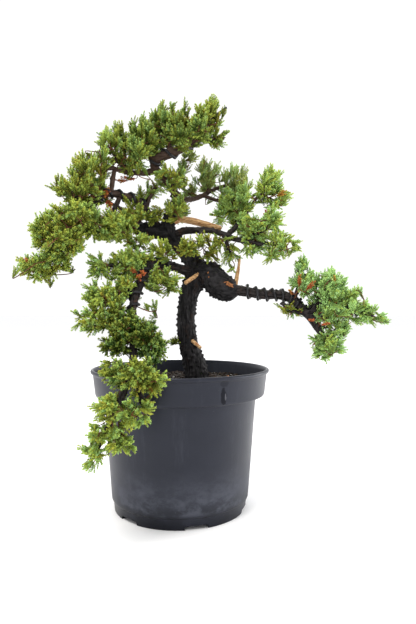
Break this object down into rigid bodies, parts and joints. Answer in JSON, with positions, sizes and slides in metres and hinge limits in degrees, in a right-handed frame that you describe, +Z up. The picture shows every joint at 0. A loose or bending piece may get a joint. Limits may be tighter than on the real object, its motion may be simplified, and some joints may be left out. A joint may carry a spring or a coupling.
{
  "type": "bonsai tree in a pot",
  "caption": "Cascading juniper bonsai with a sharply bent trunk and wired branches, growing in a round dark plastic nursery container; a decorative plant that stands on a flat surface.",
  "frame": {"origin": "on the surface that the pot stands on, at the pot's axis", "axes": "+Z up along the pot's axis, +X to the tree's right as seen from its front, +Y away from its front"},
  "size_m": [0.37, 0.2421, 0.4429],
  "materials": {
    "pot": "dark charcoal moulded plastic, satin, dusty and scuffed near the foot",
    "soil": "dark damp potting mix of bark and peat with a few pale grains and dry leaf bits",
    "bark": "near-black rough bark with fine lengthwise cracks and small knobs",
    "dead_wood": "bare dry wood, pale orange-brown, with a cut end",
    "wire": "dark anodised aluminium training wire, semi-gloss",
    "foliage": "short pointed juniper needles, yellow-green at the tips and dark green inside, with rusty old needles"
  },
  "bodies": {
    "root": {"pot": "pot", "trunk": "bark", "soil": "soil", "crown_branch": "bark", "upper_left_branch": "bark", "left_branch": "bark", "lower_left_branch": "bark", "right_branch": "bark", "mid_right_branch": "bark", "back_right_branch": "bark", "back_left_branch": "bark", "back_low_branch": "bark", "dead_snag": "dead_wood", "pruned_stub": "dead_wood", "dead_twig": "dead_wood", "torn_chip": "dead_wood", "crown_wire": "wire", "left_wire": "wire", "lower_left_wire": "wire", "right_wire": "wire", "right_tip_wire": "wire", "crown_foliage": "foliage", "crown_back_foliage": "foliage", "upper_left_foliage": "foliage", "left_foliage": "foliage", "left_back_foliage": "foliage", "inner_back_foliage": "foliage", "junction_foliage": "foliage", "inner_left_foliage": "foliage", "centre_back_foliage": "foliage", "centre_back_upper_foliage": "foliage", "back_right_foliage": "foliage", "right_upper_foliage": "foliage", "mid_right_foliage": "foliage", "mid_right_droop_foliage": "foliage", "mid_right_back_foliage": "foliage", "right_foliage": "foliage", "right_back_foliage": "foliage", "right_fringe_foliage": "foliage", "trunk_front_foliage": "foliage", "trunk_sprout_foliage": "foliage", "left_base_foliage": "foliage", "lower_left_foliage": "foliage", "lower_left_inner_foliage": "foliage", "lower_back_foliage": "foliage", "cascade_upper_foliage": "foliage", "cascade_foliage": "foliage"}
  },
  "joints": []
}
